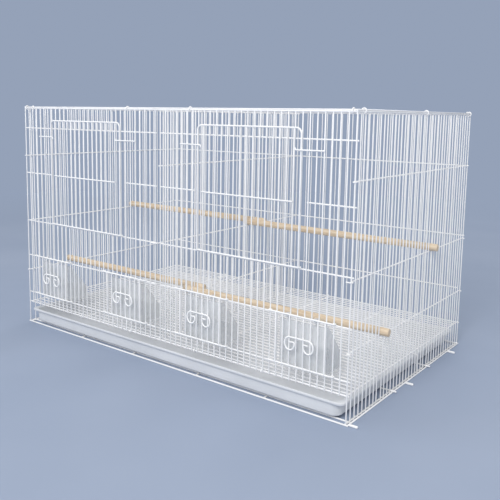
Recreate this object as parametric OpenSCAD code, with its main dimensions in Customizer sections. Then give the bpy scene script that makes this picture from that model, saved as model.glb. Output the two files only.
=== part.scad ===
// Double breeding cage for canaries: welded wire panels, two lifting doors,
// four feeder doors with seed cups, a divider, four perches and a pull-out tray.
// +X is the cage's right, -Y its front and +Z up; the ground is z = 0.

/* [Cage] */
// Length between the centres of the left and right corner bars
cage_l = 762; // [740:1:790]
// Depth between the centres of the front and back bars
cage_w = 457.2; // [440:0.1:480]
// Height of the top edge above the ground
cage_h = 457.2; // [450:0.1:480]
// Gaps between bars along the front, back and top, an odd number
front_gaps = 61; // [61:2:63]
// Gaps between bars along each side
side_gaps = 37; // [36:1:38]

/* [Wire] */
// Diameter of the upright bars
bar_d = 2; // [1.6:0.1:2.2]
// Diameter of the cross rails that hold the bars
rail_d = 2.5; // [2:0.1:2.8]
// Diameter of the doors' frame wire
door_d = 2.8; // [2.2:0.1:3]
// Diameter of the wires of the base
base_d = 3; // [2.6:0.1:3.4]
// Diameter of the pegs at the right side of the base
peg_d = 4.5; // [3:0.1:5]
// Diameter of the rings that tie the top panel down
clip_d = 2; // [1.6:0.1:2.2]
// Diameter of the wire where it is bent to an eye
eye_d = 2; // [1.4:0.1:2.2]
// Length of rail that stands out past the bar it ends on
rail_end = 3; // [1.5:0.5:4]

/* [Rail heights] */
// Highest front rail, above the large doors' opening
front_rail_1 = 413.6; // [405:0.1:420]
// Front rail beside the large doors
front_rail_2 = 320.8; // [310:0.1:340]
// Rail under the large doors, also the middle rail of the other panels
mid_rail = 220.3; // [215:0.1:228]
// Front rail above the feeder openings
front_rail_4 = 145.8; // [143:0.1:148]
// Front rail under the feeder openings
front_rail_5 = 66.3; // [60:0.1:68]
// Distance by which the right panel's middle and low rails lie under the other panels'
right_drop = 6.1; // [3:0.1:8]
// Length of the hook at the front end of the right panel's middle rail
panel_hook = 7; // [5:0.5:10]
// Rail at the height of the floor grate
floor_rail = 44.8; // [42:0.1:48]
// High rail of the side, back and divider panels
side_rail_1 = 356.5; // [340:0.1:380]
// Low rail of the side, back and divider panels
side_rail_3 = 114.7; // [100:0.1:130]

/* [Large doors] */
// Number of the bar behind each door's left side wire
door_bars = [7, 38]; // [1:1:54]
// Width of each door, in bar gaps
door_gaps = 16; // [12:1:16]
// Height of the doors' top wire
door_top = 429.5; // [424:0.5:440]
// Radius of the doors' top corners
door_corner = 9; // [4:0.5:10]
// Height of the guide wires
guide_z = 397.3; // [396:0.1:403]
// Number of gaps by which a guide wire starts outside its door
guide_reach = 3; // [2:1:3]
// Length of the bent end of each guide wire
guide_hook = 2.5; // [1:0.5:4]

/* [Feeder doors] */
// Number of the bar behind each feeder door's left side wire
feeder_bars = [3, 20, 35, 51]; // [1:1:54]
// Width of each feeder door, in bar gaps
feeder_gaps = 7; // [7:2:7]
// Width of the scroll handle
handle_w = 53; // [44:0.5:60]
// Height of the scroll handle
handle_h = 23; // [16:0.5:28]
// Width of one curl of the scroll handle
curl_w = 20; // [14:0.5:21]
// Height of the handle's lower edge above the ground
handle_z = 93; // [85:0.5:100]
// Diameter of the handle's wire
handle_d = 2.6; // [2:0.1:3]

/* [Seed cups] */
// Depth of a cup from its front wall into the cage
cup_depth = 50; // [40:0.5:60]
// Height of the cup's underside above the ground
cup_z = 64; // [60:0.5:70]
// Height of the cup's front wall
cup_h = 74; // [60:0.5:76]
// Height of the cup's low wall on the birds' side
cup_low = 22; // [14:0.5:30]
// Thickness of the cup's walls
cup_wall = 1.8; // [1.2:0.1:2.5]
// Length of the cup's level top edge at the front wall
cup_lip = 7; // [4:0.5:12]
// Width of each hook of a cup
hook_w = 6; // [4:0.5:7]
// Thickness of the hooks' front legs
hook_t = 1.4; // [1:0.1:1.5]
// Length of the hooks' front legs below the rail's centre
hook_leg = 3; // [1.5:0.5:5]
// Distance between the front rails and a cup's front wall
cup_off = 1.5; // [1:0.1:3]

/* [Divider] */
// Length of the hook at the front end of the divider's middle rail
divider_hook = 6; // [3:0.5:12]

/* [Perches] */
// Diameter of the perches
perch_d = 12.7; // [11:0.1:13]
// Length of the perches
perch_l = 404; // [396:1:410]
// Left ends of the perches: upper left, upper right, lower left, lower right
perch_x = [-379.5, -9, -385, -8.5]; // [-400:0.5:0]
// Side gaps in which their left ends lie, counted from the front, in the same order
perch_gap = [23, 21, 8, 6]; // [1:1:34]
// Side gaps in which their right ends lie
perch_gap_right = [23, 23, 8, 8]; // [1:1:34]

/* [Floor and base] */
// Cross wires of the floor grate, in bar gaps from the left
grate_cross = [13.45, 24.78, 37.4, 48.8]; // [1:0.01:60]
// Ties of the base under the tray's front, as X positions
tie_x = [-213, -68, 90, 234]; // [-370:1:370]
// Distance of the second base wire behind the front one
second_wire = 12.4; // [8:0.1:16]
// Length by which the base's side wires stand out past the back bars
low_wire_end = 1.4; // [1:0.1:6]
// Distance of the rear base wire in front of the back bars
rear_wire = 8.4; // [6:0.1:9]
// Y positions of the two wires that carry the tray
support_y = [-77.5, 65.2]; // [-200:0.1:200]
// Y position of the hooks that reach over the tray's rim
rim_hook_y = 35; // [20:0.5:50]
// Distance from the side bars to the tips of those hooks
rim_hook_in = 15; // [12:0.5:20]
// Room beside the tray's rim in which those hooks stand
rim_hook_room = 6; // [5:0.5:7]
// Bend radius of those hooks
rim_hook_bend = 3; // [2:0.5:5]
// Length by which the tray's support wires stand out past the side bars
support_out = 10; // [6:0.5:14]
// Distances of the pegs behind the front bars
peg_y = [3.4, 201.6, 397.6]; // [3:0.1:430]
// Length of the pegs
peg_l = 13.8; // [8:0.1:20]

/* [Tray] */
// Length of the tray over its rim
tray_l = 750; // [740:1:752]
// Distance of the rim's front edge behind the front bars' centres
tray_front = -0.9; // [-2:0.1:6]
// Distance of the rim's back edge in front of the back bars' centres
tray_back = 7; // [5:0.5:20]
// Height of the rim's upper face above the ground
tray_rim_z = 31.5; // [28:0.5:36]
// Width of the flat rim outside the side and back walls
tray_rim = 9; // [5:0.5:12]
// Width of the rim in front of the front wall
tray_front_rim = 3.5; // [3:0.5:9]
// Height of the turned-down edge of the rim
tray_lip = 4.5; // [3:0.5:6]
// Wall thickness of the tray
tray_wall = 2; // [1.5:0.1:3]
// Corner radius of the tray's walls
tray_corner = 15; // [6:0.5:20]
// Corner radius of the tray's rim
tray_rim_corner = 10; // [6:0.5:20]

/* [Top rings] */
// Bar gaps of the rings at the front and back edges
clip_front = [0, 24, 36, 60]; // [0:1:60]
// Side gaps of the rings at the left and right edges
clip_side = [1, 19, 36]; // [0:1:36]

/* [Clearances] */
// Gap between pieces that slide on each other
run_gap = 0.3; // [0.2:0.05:0.4]
// Gap inside an eye, all round its bar
eye_gap = 0.4; // [0.3:0.05:0.6]
// Gap under a piece that lies on its seat
seat_gap = 0.3; // [0.1:0.05:0.4]
// Gap at each side of a perch between the bars that it lies between
perch_room = 0.5; // [0.4:0.05:0.7]
// Gap at each side of a cup in its opening
cup_gap = 1.7; // [1:0.1:3]
// Gap between a ring and the corners of the rails inside it
ring_gap = 0.2; // [0.1:0.05:0.4]

/* [Hidden] */

// wires are eight-sided, with flats that face along the axes and meet face to face
sides = 8;
function flat(d) = d / 2 * cos(180 / sides);
// hairline between wires that are welded to each other
seam = 0.01;

half_l = cage_l / 2;
half_w = cage_w / 2;
pitch = cage_l / front_gaps;
side_pitch = cage_w / side_gaps;
slot = (front_gaps - 1) / 2;
function bar_x(i) = -half_l + pitch * i;
function bar_y(j) = -half_w + side_pitch * j;

// the two bars at a perch stand apart by more than the other bars
spread = max(0, (perch_d + bar_d - side_pitch) / 2 + perch_room);
function is_in(j, gaps) = len([for (g = gaps) if (g == j) 1]);
function spread_y(j, gaps) = bar_y(j) + spread * (is_in(j - 1, gaps) - is_in(j, gaps));
left_gaps = [perch_gap[0], perch_gap[2]];
right_gaps = [perch_gap_right[1], perch_gap_right[3]];
divider_gaps = [perch_gap_right[0], perch_gap_right[2], perch_gap[1], perch_gap[3]];

// the top edge is two rails on top of the bars' ends
edge_z = cage_h - flat(rail_d);
cap_z = edge_z - 2 * flat(rail_d) - seam;
bar_top = cap_z - flat(rail_d) - seam;
bar_foot = 0.3;

// rails lie against the inside of the bars
rail_off = flat(bar_d) + flat(rail_d) + seam;
rail_y = half_w - rail_off;
rail_x = half_l - rail_off;
rail_in = rail_y - flat(rail_d);

// the base has one layer of wires on the ground and one on top of it
low_z = flat(base_d);
high_z = 3 * flat(base_d) + seam;
base_top = 2 * flat(base_d) + seam;
foot_rail = flat(bar_d) + flat(base_d) + seam;
foot_x = half_l - foot_rail;
foot_y = half_w - foot_rail;
side_wire_x = half_l + foot_rail;
side_wire_out = side_wire_x + flat(base_d);
base_front = -half_w + flat(base_d) + seam;
second_y = -half_w + second_wire;

// doors slide in front of the top edge and of the bars
door_y = -(half_w + flat(rail_d) + run_gap + flat(door_d));
door_rail_y = door_y - rail_off;
guide_back_y = -(half_w + rail_off);
guide_front_y = door_y - flat(door_d) - run_gap - flat(rail_d);
eye_r = bar_d / 2 + eye_gap + eye_d / 2;
eye_up = flat(rail_d) + seat_gap + eye_d / 2;
door_foot = mid_rail + eye_up;
weld = flat(door_d) + seam;
feeder_head = front_rail_4 + eye_up;
feeder_foot = front_rail_5 + eye_up;

handle_sides = 6;
handle_y = door_y - flat(bar_d) - seam - handle_d / 2 * cos(180 / handle_sides);

cup_w = feeder_gaps * pitch - bar_d - 2 * cup_gap;
cup_y = -rail_in + cup_off;
hook_z = front_rail_4 + flat(rail_d) + seat_gap;
leg_y = -(rail_y + flat(rail_d)) - run_gap;

upper_perch_z = mid_rail + flat(rail_d) + seat_gap + perch_d / 2;
lower_perch_z = side_rail_3 + flat(rail_d) + seat_gap + perch_d / 2;

cross_z = floor_rail - 2 * flat(rail_d) - seat_gap;
grate_z = cross_z + rail_off;
grate_end = rail_x - flat(rail_d) - run_gap;

tray_floor_z = high_z + flat(base_d) + seat_gap;
tray_y0 = -half_w + tray_front;
tray_y1 = half_w - tray_back;
tray_w = tray_y1 - tray_y0;
tray_mid = (tray_y0 + tray_y1) / 2;

clip_r = flat(rail_d) + rail_d / 2 + ring_gap + clip_d / 2;
clip_z = (edge_z + cap_z) / 2;

// the origin is under the middle of everything that stands out
reach_left = half_l + support_out;
reach_right = max(perch_x[1] + perch_l, side_wire_out + peg_l);
reach_front = -guide_front_y + flat(rail_d);
reach_back = half_w + clip_r + clip_d / 2;
shift = [(reach_left - reach_right) / 2, (reach_front - reach_back) / 2, 0];

wire_white = "white";
tray_white = "gainsboro";
cup_clear = [0.85, 0.9, 0.92, 0.45];
perch_wood = "burlywood";

// ---- wires -------------------------------------------------------------

module rod(len, d) {
    rotate([0, 0, 180 / sides]) cylinder(d = d, h = len, $fn = sides);
}

module wire_z(x, y, z0, z1, d) {
    translate([x, y, z0]) rod(z1 - z0, d);
}

module wire_x(x0, x1, y, z, d) {
    translate([x0, y, z]) rotate([0, 90, 0]) rod(x1 - x0, d);
}

module wire_y(y0, y1, x, z, d) {
    translate([x, y0, z]) rotate([-90, 0, 0]) rod(y1 - y0, d);
}

// a quarter bend in an upright plane, round [x, z], from the angle start
module bend_xz(x, z, y, r, start, d) {
    translate([x, y, z])
        rotate([90, 0, 0]) rotate([0, 0, start])
            rotate_extrude(angle = 90, $fn = 48)
                translate([r, 0]) rotate(180 / sides) circle(d = d, $fn = sides);
}

// direction of a path at point k
function heading(path, k) =
    let (p = path[max(k - 1, 0)], q = path[min(k + 1, len(path) - 1)])
    (q - p) / norm(q - p);

// n-sided tube swept along a path of [x, z] points, its section turned by the angle turn
module swept(path, d, n, turn = 0) {
    count = len(path);
    points = [for (k = [0:count - 1], s = [0:n - 1])
        let (t = heading(path, k), a = 360 * s / n + turn,
             u = cos(a) * d / 2, v = sin(a) * d / 2)
        [path[k][0] - t[1] * u, v, path[k][1] + t[0] * u]];
    walls = [for (k = [0:count - 2], s = [0:n - 1])
        let (a = k * n + s, b = k * n + (s + 1) % n)
        [a, b, b + n, a + n]];
    caps = [[for (s = [n - 1:-1:0]) s], [for (s = [0:n - 1]) (count - 1) * n + s]];
    polyhedron(points, concat(walls, caps));
}

// a ring of wire round an upright bar
module eye(x, y, z) {
    translate([x, y, z])
        rotate_extrude($fn = 32) translate([eye_r, 0]) circle(d = eye_d, $fn = 24);
}

// the room that an eye takes in a wire that ends at it
module eye_room(x, y, z) {
    translate([x, y, z - 2 * eye_d])
        cylinder(r = eye_r + eye_d / 2 + seam, h = 4 * eye_d, $fn = 32);
}

// a door wire along X with an eye round the post at each end, end past the posts' centres
module eyed_wire(x0, x1, z, end) {
    difference() {
        wire_x(x0 - end, x1 + end, door_y, z, door_d);
        for (x = [x0, x1]) eye_room(x, -half_w, z);
    }
    for (x = [x0, x1]) eye(x, -half_w, z);
}

// a ring round the two rails of the top edge, across X or across Y
module ring(turn) {
    rotate([0, 0, turn])
        rotate([0, 90, 0])
            rotate_extrude($fn = 32) translate([clip_r, 0]) circle(d = clip_d, $fn = 24);
}

// cross rail of the front panel between two bars, past the corner bars or short of the slot
module front_rail(i0, i1, z) {
    x0 = bar_x(i0) - (i0 == slot + 1 ? bar_d / 2 : rail_end);
    x1 = bar_x(i1) + (i1 == slot ? bar_d / 2 : rail_end);
    wire_x(x0, x1, -rail_y, z, rail_d);
}

// ---- panels ------------------------------------------------------------

function in_door(i) = len([for (b = door_bars) if (i > b && i < b + door_gaps) 1]) > 0;
function in_feeder(i) = len([for (b = feeder_bars) if (i > b && i < b + feeder_gaps) 1]) > 0;

module front_bar(i) {
    if (in_door(i)) {
        wire_z(bar_x(i), -half_w, front_rail_1 - flat(rail_d), bar_top, bar_d);
    }
    low = in_feeder(i) ? front_rail_4 - flat(rail_d) : floor_rail - flat(rail_d);
    high = in_door(i) ? mid_rail + flat(rail_d) : bar_top;
    wire_z(bar_x(i), -half_w, low, high, bar_d);
    if (in_feeder(i)) {
        wire_z(bar_x(i), -half_w, floor_rail - flat(rail_d), front_rail_5 + flat(rail_d), bar_d);
    }
}

module front_panel() {
    color(wire_white) translate(shift) {
        for (i = [1:front_gaps - 1]) front_bar(i);
        for (i = [0, front_gaps]) wire_z(bar_x(i), -half_w, base_top, bar_top, bar_d);
        wire_x(-half_l - flat(rail_d), half_l + flat(rail_d), -half_w, cap_z, rail_d);
        for (z = [front_rail_1, mid_rail, front_rail_4, front_rail_5]) {
            front_rail(0, slot, z);
            front_rail(slot + 1, front_gaps, z);
        }
        front_rail(0, door_bars[0] - 1, front_rail_2);
        front_rail(door_bars[0] + door_gaps + 1, slot, front_rail_2);
        front_rail(slot + 1, door_bars[1] - 1, front_rail_2);
        front_rail(door_bars[1] + door_gaps + 1, front_gaps, front_rail_2);
        front_rail(0, front_gaps, floor_rail);
    }
}

module back_panel() {
    color(wire_white) translate(shift) {
        for (i = [0:front_gaps]) wire_z(bar_x(i), half_w, bar_foot, bar_top, bar_d);
        wire_x(-half_l - flat(rail_d), half_l + flat(rail_d), half_w, cap_z, rail_d);
        for (z = [side_rail_1, side_rail_3])
            wire_x(-grate_end, grate_end, rail_y, z, rail_d);
        for (z = [mid_rail, floor_rail])
            wire_x(-half_l - rail_end, half_l + rail_end, rail_y, z, rail_d);
        foot_end = foot_x - flat(base_d) - seam;
        wire_x(-foot_end, foot_end, foot_y, low_z, base_d);
    }
}

// rail of the right panel whose ends are bent to eyes round the corner bars
module eyed_rail(z) {
    difference() {
        wire_y(-half_w, half_w, rail_x, z, rail_d);
        for (s = [-1, 1]) eye_room(half_l, s * half_w, z);
    }
    for (s = [-1, 1]) eye(half_l, s * half_w, z);
}

// what both side panels have, at the right
module side_panel(gaps) {
    for (j = [1:side_gaps - 1]) wire_z(half_l, spread_y(j, gaps), bar_foot, bar_top, bar_d);
    wire_y(-half_w + flat(rail_d) + seam, half_w - flat(rail_d) - seam, half_l, cap_z, rail_d);
    wire_y(-rail_in + run_gap, rail_in - run_gap, rail_x, floor_rail, rail_d);
    eyed_rail(side_rail_1);
    wire_y(base_front, half_w, foot_x, low_z, base_d);
}

module left_panel() {
    color(wire_white) translate(shift) mirror([1, 0, 0]) {
        side_panel(left_gaps);
        wire_y(-rail_in + run_gap, rail_in - run_gap, rail_x, mid_rail, rail_d);
        eyed_rail(side_rail_3);
    }
}

module right_panel() {
    z = mid_rail - right_drop;
    color(wire_white) translate(shift) {
        side_panel(right_gaps);
        eyed_rail(z);
        eyed_rail(side_rail_3 - right_drop);
        // the middle rail's front end goes on round the corner bar as a hook
        difference() {
            wire_x(half_l - panel_hook, half_l, -half_w - eye_r, z, eye_d);
            eye_room(half_l, -half_w, z);
        }
    }
}

module top_panel() {
    inner = half_w - flat(rail_d) - seam;
    color(wire_white) translate(shift) {
        for (s = [-1, 1]) {
            wire_x(-half_l - flat(rail_d), half_l + flat(rail_d), s * half_w, edge_z, rail_d);
            wire_y(-inner, inner, s * half_l, edge_z, rail_d);
        }
        for (i = [1:front_gaps - 1]) wire_y(-inner, inner, bar_x(i), edge_z, bar_d);
        for (k = [-1:1])
            wire_x(run_gap - half_l + flat(rail_d), half_l - flat(rail_d) - run_gap,
                   k * cage_w / 4, edge_z - rail_off, rail_d);
    }
}

module top_rings() {
    color(wire_white) translate(shift) {
        for (i = clip_front, s = [-1, 1])
            translate([bar_x(i + 0.5), s * half_w, clip_z]) ring(0);
        for (j = clip_side, s = [-1, 1])
            translate([s * half_l, bar_y(min(j, side_gaps - 1) + 0.5), clip_z]) ring(90);
    }
}

// guide wire welded on the bars outside a post, passing in front of the door's side wire;
// it runs towards dir and its end is bent down at the left posts and up at the right ones
module guide(post, dir) {
    start = bar_x(post - dir * guide_reach) - dir * bar_d;
    weld = bar_x(post - dir) + dir * bar_d;
    front = bar_x(post - dir * 0.45);
    tip = bar_x(post + dir * 0.7);
    r = 0.8 * rail_d;
    bend_end = guide_z - dir * (r + seam);
    end = guide_z - dir * (guide_hook + flat(rail_d));
    translate([0, 0, guide_z]) rotate([-90, 0, 0])
        swept([[start, guide_back_y], [weld - dir, guide_back_y], [weld, guide_back_y],
               [front, guide_front_y], [front + dir, guide_front_y],
               [tip - dir * (r + seam), guide_front_y]], rail_d, sides, 180 / sides);
    bend_xz(tip - dir * r, guide_z - dir * r, guide_front_y, r, dir > 0 ? 0 : 180, rail_d);
    wire_z(tip, guide_front_y, min(bend_end, end), max(bend_end, end), rail_d);
}

module door_guides() {
    color(wire_white) translate(shift)
        for (b = door_bars) {
            guide(b, 1);
            guide(b + door_gaps, -1);
        }
}

// the divider hangs between the middle bars and its middle rail hooks round the left one
module divider() {
    bar_side = flat(bar_d) + (flat(rail_d) - flat(bar_d)) / 2;
    rail_side = bar_side - rail_off;
    foot = grate_z + rail_off;
    head = edge_z - rail_off - 2 * flat(rail_d) - run_gap;
    back = rail_in - run_gap;
    hook_y = -(half_w + flat(bar_d) + run_gap + flat(rail_d));
    hook_x = bar_x(slot) - pitch * 0.75;
    color(wire_white) translate(shift) {
        for (j = [1:side_gaps - 1])
            wire_z(bar_side, spread_y(j, divider_gaps), foot - flat(rail_d),
                   head + flat(rail_d), bar_d);
        for (z = [foot, side_rail_3, side_rail_1, head])
            wire_y(-back, back, rail_side, z, rail_d);
        wire_y(hook_y - flat(rail_d), back, rail_side, mid_rail, rail_d);
        wire_x(hook_x - flat(rail_d), rail_side - flat(rail_d) - seam, hook_y, mid_rail, rail_d);
        wire_z(hook_x, hook_y, mid_rail - divider_hook, mid_rail - flat(rail_d) - seam, rail_d);
    }
}

// ---- floor and base ----------------------------------------------------

// half a turn of wire that hooks a grate wire's end round the floor rail
module grate_hook() {
    rotate([0, 0, 90])
        rotate([90, 0, 0])
            rotate([0, 0, 90])
                rotate_extrude(angle = 180, $fn = 32)
                    translate([floor_rail - cross_z, 0]) circle(r = flat(rail_d), $fn = 24);
}

module floor_grate() {
    color(wire_white) translate(shift) {
        for (j = [1:side_gaps - 1])
            wire_x(-grate_end, grate_end, bar_y(j), grate_z, bar_d);
        for (g = grate_cross) {
            wire_y(seam - rail_y, rail_y - seam, bar_x(g), cross_z, rail_d);
            translate([bar_x(g), -rail_y, floor_rail]) grate_hook();
            translate([bar_x(g), rail_y, floor_rail]) mirror([0, 1, 0]) grate_hook();
        }
    }
}

// the front wires, the ties and the side wires lie on the ground, the rear wire on them
module base_frame() {
    second_end = foot_x - flat(base_d) - seam;
    color(wire_white) translate(shift) {
        wire_x(-side_wire_out, side_wire_out, -half_w, low_z, base_d);
        wire_x(-second_end, second_end, second_y, low_z, base_d);
        for (x = tie_x)
            wire_y(base_front, second_y - flat(base_d) - seam, x, low_z, base_d);
        for (s = [-1, 1])
            wire_y(base_front, half_w + low_wire_end, s * side_wire_x, low_z, base_d);
        wire_x(-side_wire_out, side_wire_out, half_w - rear_wire, high_z, base_d);
    }
}

// two wires across the base under the tray, and a hook over its rim at each side
module tray_supports() {
    out = half_l + support_out;
    x = half_l - (rim_hook_room + flat(bar_d)) / 2;
    r = rim_hook_bend;
    top = tray_rim_z + seat_gap + flat(rail_d);
    color(wire_white) translate(shift) {
        for (y = support_y) wire_x(-out, out, y, high_z, base_d);
        for (s = [0, 1]) mirror([s, 0, 0]) {
            wire_z(x, rim_hook_y, base_top, top - r - seam, rail_d);
            bend_xz(x - r, top - r, rim_hook_y, r, 0, rail_d);
            wire_x(half_l - rim_hook_in, x - r - seam, rim_hook_y, top, rail_d);
        }
    }
}

module side_pegs() {
    color(wire_white) translate(shift)
        for (y = peg_y)
            wire_x(side_wire_out + seam, side_wire_out + peg_l, y - half_w, flat(peg_d), peg_d);
}

// rectangle with round corners, l by w, centred
module round_rect(l, w, r) {
    square([l - 2 * r, w], center = true);
    square([l, w - 2 * r], center = true);
    for (x = [-1, 1], y = [-1, 1])
        translate([x * (l / 2 - r), y * (w / 2 - r)]) circle(r = r, $fn = 48);
}

module tray() {
    pan_l = tray_l - 2 * tray_rim;
    pan_w = tray_w - tray_rim - tray_front_rim;
    pan_mid = (tray_front_rim - tray_rim) / 2;
    in = 2 * tray_wall;
    color(tray_white) translate(shift) translate([0, tray_mid, 0]) {
        translate([0, pan_mid, tray_floor_z])
            linear_extrude(tray_wall) round_rect(pan_l, pan_w, tray_corner);
        translate([0, pan_mid, tray_floor_z])
            linear_extrude(tray_rim_z - tray_floor_z) difference() {
                round_rect(pan_l, pan_w, tray_corner);
                round_rect(pan_l - in, pan_w - in, tray_corner - tray_wall);
            }
        translate([0, 0, tray_rim_z - tray_wall]) linear_extrude(tray_wall) difference() {
            round_rect(tray_l, tray_w, tray_rim_corner);
            translate([0, pan_mid])
                round_rect(pan_l - in, pan_w - in, tray_corner - tray_wall);
        }
        translate([0, 0, tray_rim_z - tray_lip]) linear_extrude(tray_lip) difference() {
            round_rect(tray_l, tray_w, tray_rim_corner);
            round_rect(tray_l - in, tray_w - in, tray_rim_corner - tray_wall);
        }
    }
}

// ---- doors -------------------------------------------------------------

// door frame bent from one wire, with round corners at the top
module door_frame(x0, x1, z0, z1, r) {
    for (x = [x0, x1]) wire_z(x, door_y, z0, z1 - r - seam, door_d);
    wire_x(x0 + r + seam, x1 - r - seam, door_y, z1, door_d);
    bend_xz(x1 - r, z1 - r, door_y, r, 0, door_d);
    bend_xz(x0 + r, z1 - r, door_y, r, 90, door_d);
}

module large_door(first) {
    last = first + door_gaps;
    x0 = bar_x(first);
    x1 = bar_x(last);
    color(wire_white) translate(shift) {
        door_frame(x0, x1, door_foot + weld, door_top, door_corner);
        eyed_wire(x0, x1, door_foot, flat(door_d));
        for (i = [first + 1:last - 1])
            wire_z(bar_x(i), door_y, door_foot + weld, door_top - weld, bar_d);
        wire_x(bar_x(first + 1) - bar_d / 2, bar_x(last - 1) + bar_d / 2,
               door_rail_y, front_rail_2, rail_d);
    }
}

module large_door_left() {
    large_door(door_bars[0]);
}

module large_door_right() {
    large_door(door_bars[1]);
}

module feeder_door(n) {
    first = feeder_bars[n];
    last = first + feeder_gaps;
    color(wire_white) translate(shift) {
        for (z = [feeder_foot, feeder_head])
            eyed_wire(bar_x(first - 1), bar_x(last + 1), z, 0);
        for (i = [first:last])
            wire_z(bar_x(i), door_y, feeder_foot + weld, feeder_head - weld,
                   i == first || i == last ? door_d : bar_d);
    }
}

module feeder_door_1() {
    feeder_door(0);
}

module feeder_door_2() {
    feeder_door(1);
}

module feeder_door_3() {
    feeder_door(2);
}

module feeder_door_4() {
    feeder_door(3);
}

// right half of the scroll: along the top bar, round the curl and in to its short end
curl_x = (handle_w - curl_w) / 2;
curl_a = curl_w / 2 - handle_d / 2;
curl_b = handle_h / 2 - handle_d / 2;
function curl(a) = [curl_x + curl_a * cos(a), handle_h / 2 + curl_b * sin(a)];
half_scroll = concat(
    [for (a = [90:-15:-180]) curl(a)],
    [[curl_x - curl_a * 0.93, handle_h * 0.62]],
    [[curl_x - curl_a * 0.5, handle_h * 0.61], [curl_x - curl_a * 0.05, handle_h * 0.6]]);
last_point = len(half_scroll) - 1;
scroll = concat([for (k = [last_point:-1:0]) [-half_scroll[k][0], half_scroll[k][1]]],
                half_scroll);

module feeder_handle(n) {
    mid = bar_x(feeder_bars[n] + feeder_gaps / 2);
    color(wire_white) translate(shift)
        translate([mid, handle_y, handle_z]) swept(scroll, handle_d, handle_sides);
}

module feeder_handle_1() {
    feeder_handle(0);
}

module feeder_handle_2() {
    feeder_handle(1);
}

module feeder_handle_3() {
    feeder_handle(2);
}

module feeder_handle_4() {
    feeder_handle(3);
}

// ---- cups and perches --------------------------------------------------

// outline given as [depth, height] points, extruded across the width w
module across(w, points) {
    translate([-w / 2, 0, 0])
        rotate([90, 0, 90])
            linear_extrude(w) polygon(points);
}

module seed_cup(n) {
    top = cup_z + cup_h;
    back = cup_y + cup_depth;
    mid = feeder_bars[n] + feeder_gaps / 2;
    color(cup_clear) translate(shift) {
        translate([bar_x(mid), 0, 0]) difference() {
            across(cup_w, [[cup_y, cup_z], [back, cup_z], [back, cup_z + cup_low],
                           [cup_y + cup_lip, top], [cup_y, top]]);
            across(cup_w - 2 * cup_wall,
                [[cup_y + cup_wall, cup_z + cup_wall], [back - cup_wall, cup_z + cup_wall],
                 [back - cup_wall, top + 1], [cup_y + cup_wall, top + 1]]);
        }
        for (g = [-2, 2]) translate([bar_x(mid + g), 0, 0])
            across(hook_w, [[cup_y, top], [cup_y, hook_z], [leg_y, hook_z],
                            [leg_y, front_rail_4 - hook_leg],
                            [leg_y - hook_t, front_rail_4 - hook_leg],
                            [leg_y - hook_t, hook_z + cup_wall],
                            [cup_y + cup_wall, hook_z + cup_wall], [cup_y + cup_wall, top]]);
    }
}

module seed_cup_1() {
    seed_cup(0);
}

module seed_cup_2() {
    seed_cup(1);
}

module seed_cup_3() {
    seed_cup(2);
}

module seed_cup_4() {
    seed_cup(3);
}

// perch that lies on the rails of a side panel and of the divider, between their bars;
// those at the right lie askew and slope down to the right panel's lower rails
module perch(n, z) {
    start = n == 0 || n == 2 ? -rail_x : 0;
    drop = n == 0 || n == 2 ? 0 : right_drop;
    y0 = bar_y(perch_gap[n] + 0.5);
    y1 = bar_y(perch_gap_right[n] + 0.5);
    way = [rail_x, y1 - y0, -drop];
    first = [start, y0, z] + way * (perch_x[n] - start) / rail_x;
    color(perch_wood) translate(shift) translate(first)
        rotate([0, acos(way[2] / norm(way)), atan2(way[1], way[0])])
            cylinder(d = perch_d, h = perch_l, $fn = 48);
}

module perch_upper_left() {
    perch(0, upper_perch_z);
}

module perch_upper_right() {
    perch(1, upper_perch_z);
}

module perch_lower_left() {
    perch(2, lower_perch_z);
}

module perch_lower_right() {
    perch(3, lower_perch_z);
}

front_panel();
back_panel();
left_panel();
right_panel();
top_panel();
top_rings();
door_guides();
divider();
floor_grate();
base_frame();
tray_supports();
side_pegs();
tray();
large_door_left();
large_door_right();
feeder_door_1();
feeder_door_2();
feeder_door_3();
feeder_door_4();
feeder_handle_1();
feeder_handle_2();
feeder_handle_3();
feeder_handle_4();
seed_cup_1();
seed_cup_2();
seed_cup_3();
seed_cup_4();
perch_upper_left();
perch_upper_right();
perch_lower_left();
perch_lower_right();
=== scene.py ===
"""Looks of the canary breeding cage.

Round powder-coated wire, a moulded tray, clear cups and wooden perches. Lengths are in
millimetres until a mesh is made, and places are measured from the middle of the cage, as in
the CAD source. MM and SHIFT take them to the shared frame.
"""

import math
import random

import bpy
from mathutils import Matrix, Vector


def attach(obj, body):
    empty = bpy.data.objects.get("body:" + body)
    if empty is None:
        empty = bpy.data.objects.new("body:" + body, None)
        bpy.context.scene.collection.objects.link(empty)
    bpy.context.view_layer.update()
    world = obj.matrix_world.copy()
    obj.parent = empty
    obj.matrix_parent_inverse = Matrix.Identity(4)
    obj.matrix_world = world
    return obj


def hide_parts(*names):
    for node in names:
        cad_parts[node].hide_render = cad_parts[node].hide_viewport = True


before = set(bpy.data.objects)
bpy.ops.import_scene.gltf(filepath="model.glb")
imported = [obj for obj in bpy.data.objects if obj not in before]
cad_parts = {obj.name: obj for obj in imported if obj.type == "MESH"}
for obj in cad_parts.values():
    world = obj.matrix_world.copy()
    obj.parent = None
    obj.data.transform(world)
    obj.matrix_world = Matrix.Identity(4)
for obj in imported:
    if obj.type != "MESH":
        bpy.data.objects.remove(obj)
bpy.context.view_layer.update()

# ---- dimensions ----------------------------------------------------------

MM = 0.001
CAGE_L, CAGE_W, CAGE_H = 762.0, 457.2, 457.2
HALF_L, HALF_W = CAGE_L / 2, CAGE_W / 2
FRONT_GAPS, SIDE_GAPS = 61, 37
PITCH, SIDE_PITCH = CAGE_L / FRONT_GAPS, CAGE_W / SIDE_GAPS
SLOT = (FRONT_GAPS - 1) // 2

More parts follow.
